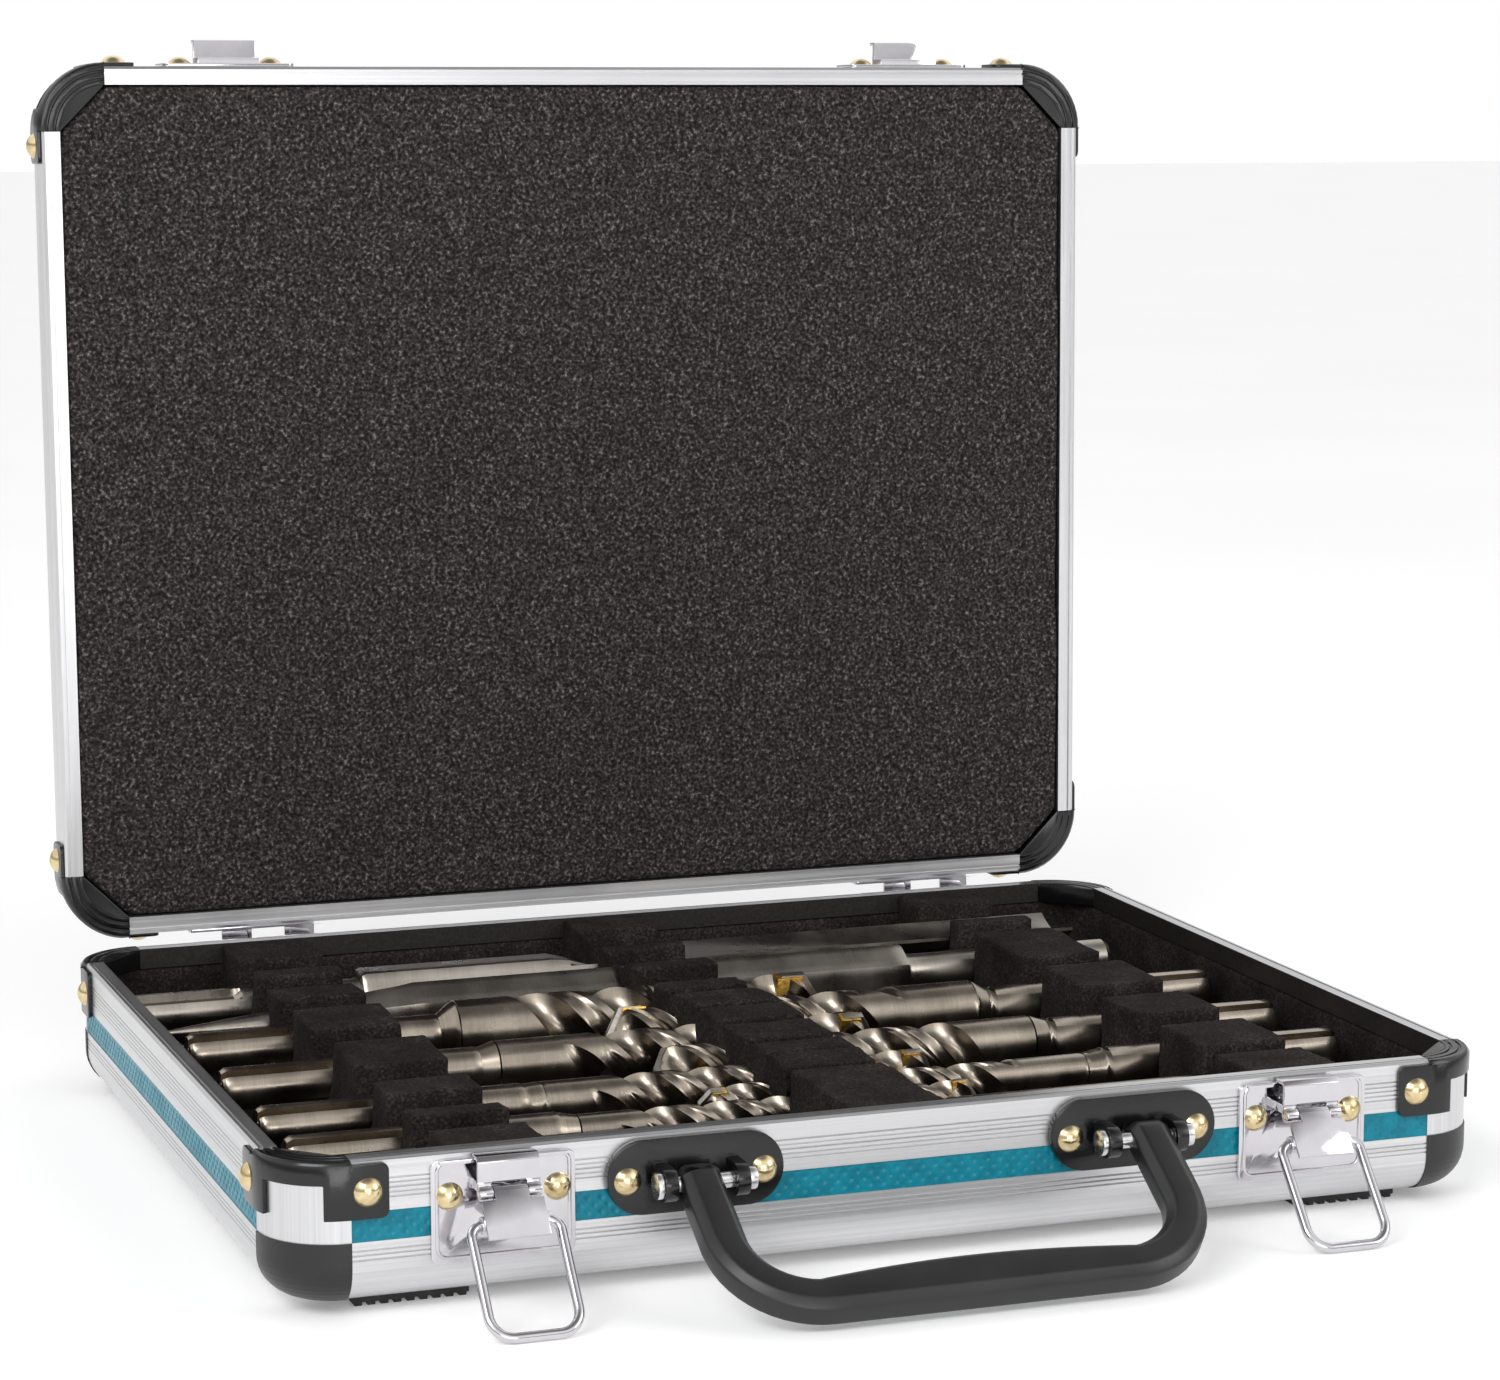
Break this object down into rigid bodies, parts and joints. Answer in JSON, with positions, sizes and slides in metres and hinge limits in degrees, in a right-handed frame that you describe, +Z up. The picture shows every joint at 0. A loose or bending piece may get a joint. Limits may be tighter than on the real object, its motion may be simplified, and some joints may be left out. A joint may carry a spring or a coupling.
{
  "type": "aluminium tool case",
  "caption": "Shallow attache-style tool case with aluminium walls, hinged foam-lined lid, wire latches, carrying handle and a fitted drill and chisel set.",
  "frame": {"origin": "centre of the bounding box on the surface that the case stands on, with the lid open and the handle and wire bails hanging", "axes": "+Z up from the surface, +Y from the front with the handle and latches to the back with the hinges, +X to the right seen from the front"},
  "size_m": [0.2856, 0.2941, 0.261],
  "materials": {
    "aluminium": "satin extruded aluminium with fine lengthwise lines",
    "coloured_strip": "teal strip with fine embossing",
    "corner_plastic": "satin black moulded plastic",
    "black_plastic": "black moulded plastic, semi-gloss",
    "brass": "polished brass-coloured rivets",
    "foam": "black closed-cell foam",
    "lid_foam": "dark speckled bonded foam",
    "panel": "black board with a fine texture",
    "foot_rubber": "ribbed black rubber",
    "drill_steel": "nickel-grey steel with brazed carbide tips",
    "chisel_steel": "forged and ground steel",
    "zinc": "bright zinc plating",
    "chrome": "bright nickel plating"
  },
  "bodies": {
    "tray": {"front_wall": "aluminium", "back_wall": "aluminium", "left_wall": "aluminium", "right_wall": "aluminium", "side_strips": "coloured_strip", "corner_posts": "aluminium", "ball_corners": "corner_plastic", "corner_braces": "black_plastic", "tray_rivets": "brass", "bottom_panel": "panel", "feet": "foot_rubber", "lining": "foam", "floor_pad": "foam", "foam_row_left": "foam", "foam_row_middle": "foam", "foam_row_right": "foam", "hinge_leaf_lower_left": "chrome", "hinge_leaf_lower_right": "chrome", "hinge_pins": "zinc", "hinge_rivets_lower": "chrome", "latch_plate_left": "chrome", "latch_plate_right": "chrome", "latch_pins": "zinc", "handle_bracket_left": "black_plastic", "handle_bracket_right": "black_plastic", "handle_bolts": "zinc"},
    "lid": {"lid_front_wall": "aluminium", "lid_back_wall": "aluminium", "lid_left_wall": "aluminium", "lid_right_wall": "aluminium", "lid_corner_posts": "aluminium", "lid_ball_corners": "corner_plastic", "lid_corner_braces": "black_plastic", "lid_rivets": "brass", "lid_panel": "panel", "lid_foam_pad": "lid_foam", "catch_left": "chrome", "catch_right": "chrome", "hinge_leaf_upper_left": "chrome", "hinge_leaf_upper_right": "chrome", "hinge_rivets_upper": "chrome"},
    "latch_lever_left": {"latch_lever_left": "chrome"},
    "latch_lever_right": {"latch_lever_right": "chrome"},
    "bail_left": {"bail_left": "chrome"},
    "bail_right": {"bail_right": "chrome"},
    "handle": {"handle": "black_plastic"},
    "drill_16": {"drill_16": "drill_steel"},
    "drill_14": {"drill_14": "drill_steel"},
    "drill_12_left": {"drill_12_left": "drill_steel"},
    "drill_12_right": {"drill_12_right": "drill_steel"},
    "drill_10": {"drill_10": "drill_steel"},
    "drill_8_right": {"drill_8_right": "drill_steel"},
    "drill_8_left": {"drill_8_left": "drill_steel"},
    "drill_6_left": {"drill_6_left": "drill_steel"},
    "drill_6_right": {"drill_6_right": "drill_steel"},
    "point_chisel": {"point_chisel": "chisel_steel"},
    "gouge_chisel": {"gouge_chisel": "chisel_steel"}
  },
  "joints": [
    {"name": "lid_hinge", "type": "hinge", "parent": "tray", "child": "lid", "pos_m": [0, 0.11943, 0.0311], "axis": [-1, 0, 0], "range_deg": [-91, 0]},
    {"name": "latch_left", "type": "hinge", "parent": "tray", "child": "latch_lever_left", "pos_m": [-0.092, -0.10917, 0.0259], "axis": [-1, 0, 0], "range_deg": [-36, 98]},
    {"name": "bail_swing_left", "type": "hinge", "parent": "latch_lever_left", "child": "bail_left", "pos_m": [-0.092, -0.11245, 0.02025], "axis": [1, 0, 0], "range_deg": [-160, 0]},
    {"name": "latch_right", "type": "hinge", "parent": "tray", "child": "latch_lever_right", "pos_m": [0.092, -0.10917, 0.0259], "axis": [-1, 0, 0], "range_deg": [-36, 98]},
    {"name": "bail_swing_right", "type": "hinge", "parent": "latch_lever_right", "child": "bail_right", "pos_m": [0.092, -0.11245, 0.02025], "axis": [1, 0, 0], "range_deg": [-160, 0]},
    {"name": "handle_swing", "type": "hinge", "parent": "tray", "child": "handle", "pos_m": [0, -0.11097, 0.0245], "axis": [-1, 0, 0], "range_deg": [0, 121]},
    {"name": "drill_16_lift", "type": "slide", "parent": "tray", "child": "drill_16", "axis": [0, 0, 1], "range_m": [0, 0.07]},
    {"name": "drill_14_lift", "type": "slide", "parent": "tray", "child": "drill_14", "axis": [0, 0, 1], "range_m": [0, 0.07]},
    {"name": "drill_12_left_lift", "type": "slide", "parent": "tray", "child": "drill_12_left", "axis": [0, 0, 1], "range_m": [0, 0.07]},
    {"name": "drill_12_right_lift", "type": "slide", "parent": "tray", "child": "drill_12_right", "axis": [0, 0, 1], "range_m": [0, 0.07]},
    {"name": "drill_10_lift", "type": "slide", "parent": "tray", "child": "drill_10", "axis": [0, 0, 1], "range_m": [0, 0.07]},
    {"name": "drill_8_right_lift", "type": "slide", "parent": "tray", "child": "drill_8_right", "axis": [0, 0, 1], "range_m": [0, 0.07]},
    {"name": "drill_8_left_lift", "type": "slide", "parent": "tray", "child": "drill_8_left", "axis": [0, 0, 1], "range_m": [0, 0.07]},
    {"name": "drill_6_left_lift", "type": "slide", "parent": "tray", "child": "drill_6_left", "axis": [0, 0, 1], "range_m": [0, 0.07]},
    {"name": "drill_6_right_lift", "type": "slide", "parent": "tray", "child": "drill_6_right", "axis": [0, 0, 1], "range_m": [0, 0.07]},
    {"name": "point_chisel_lift", "type": "slide", "parent": "tray", "child": "point_chisel", "axis": [0, 0, 1], "range_m": [0, 0.07]},
    {"name": "gouge_chisel_lift", "type": "slide", "parent": "tray", "child": "gouge_chisel", "axis": [0, 0, 1], "range_m": [0, 0.07]}
  ]
}
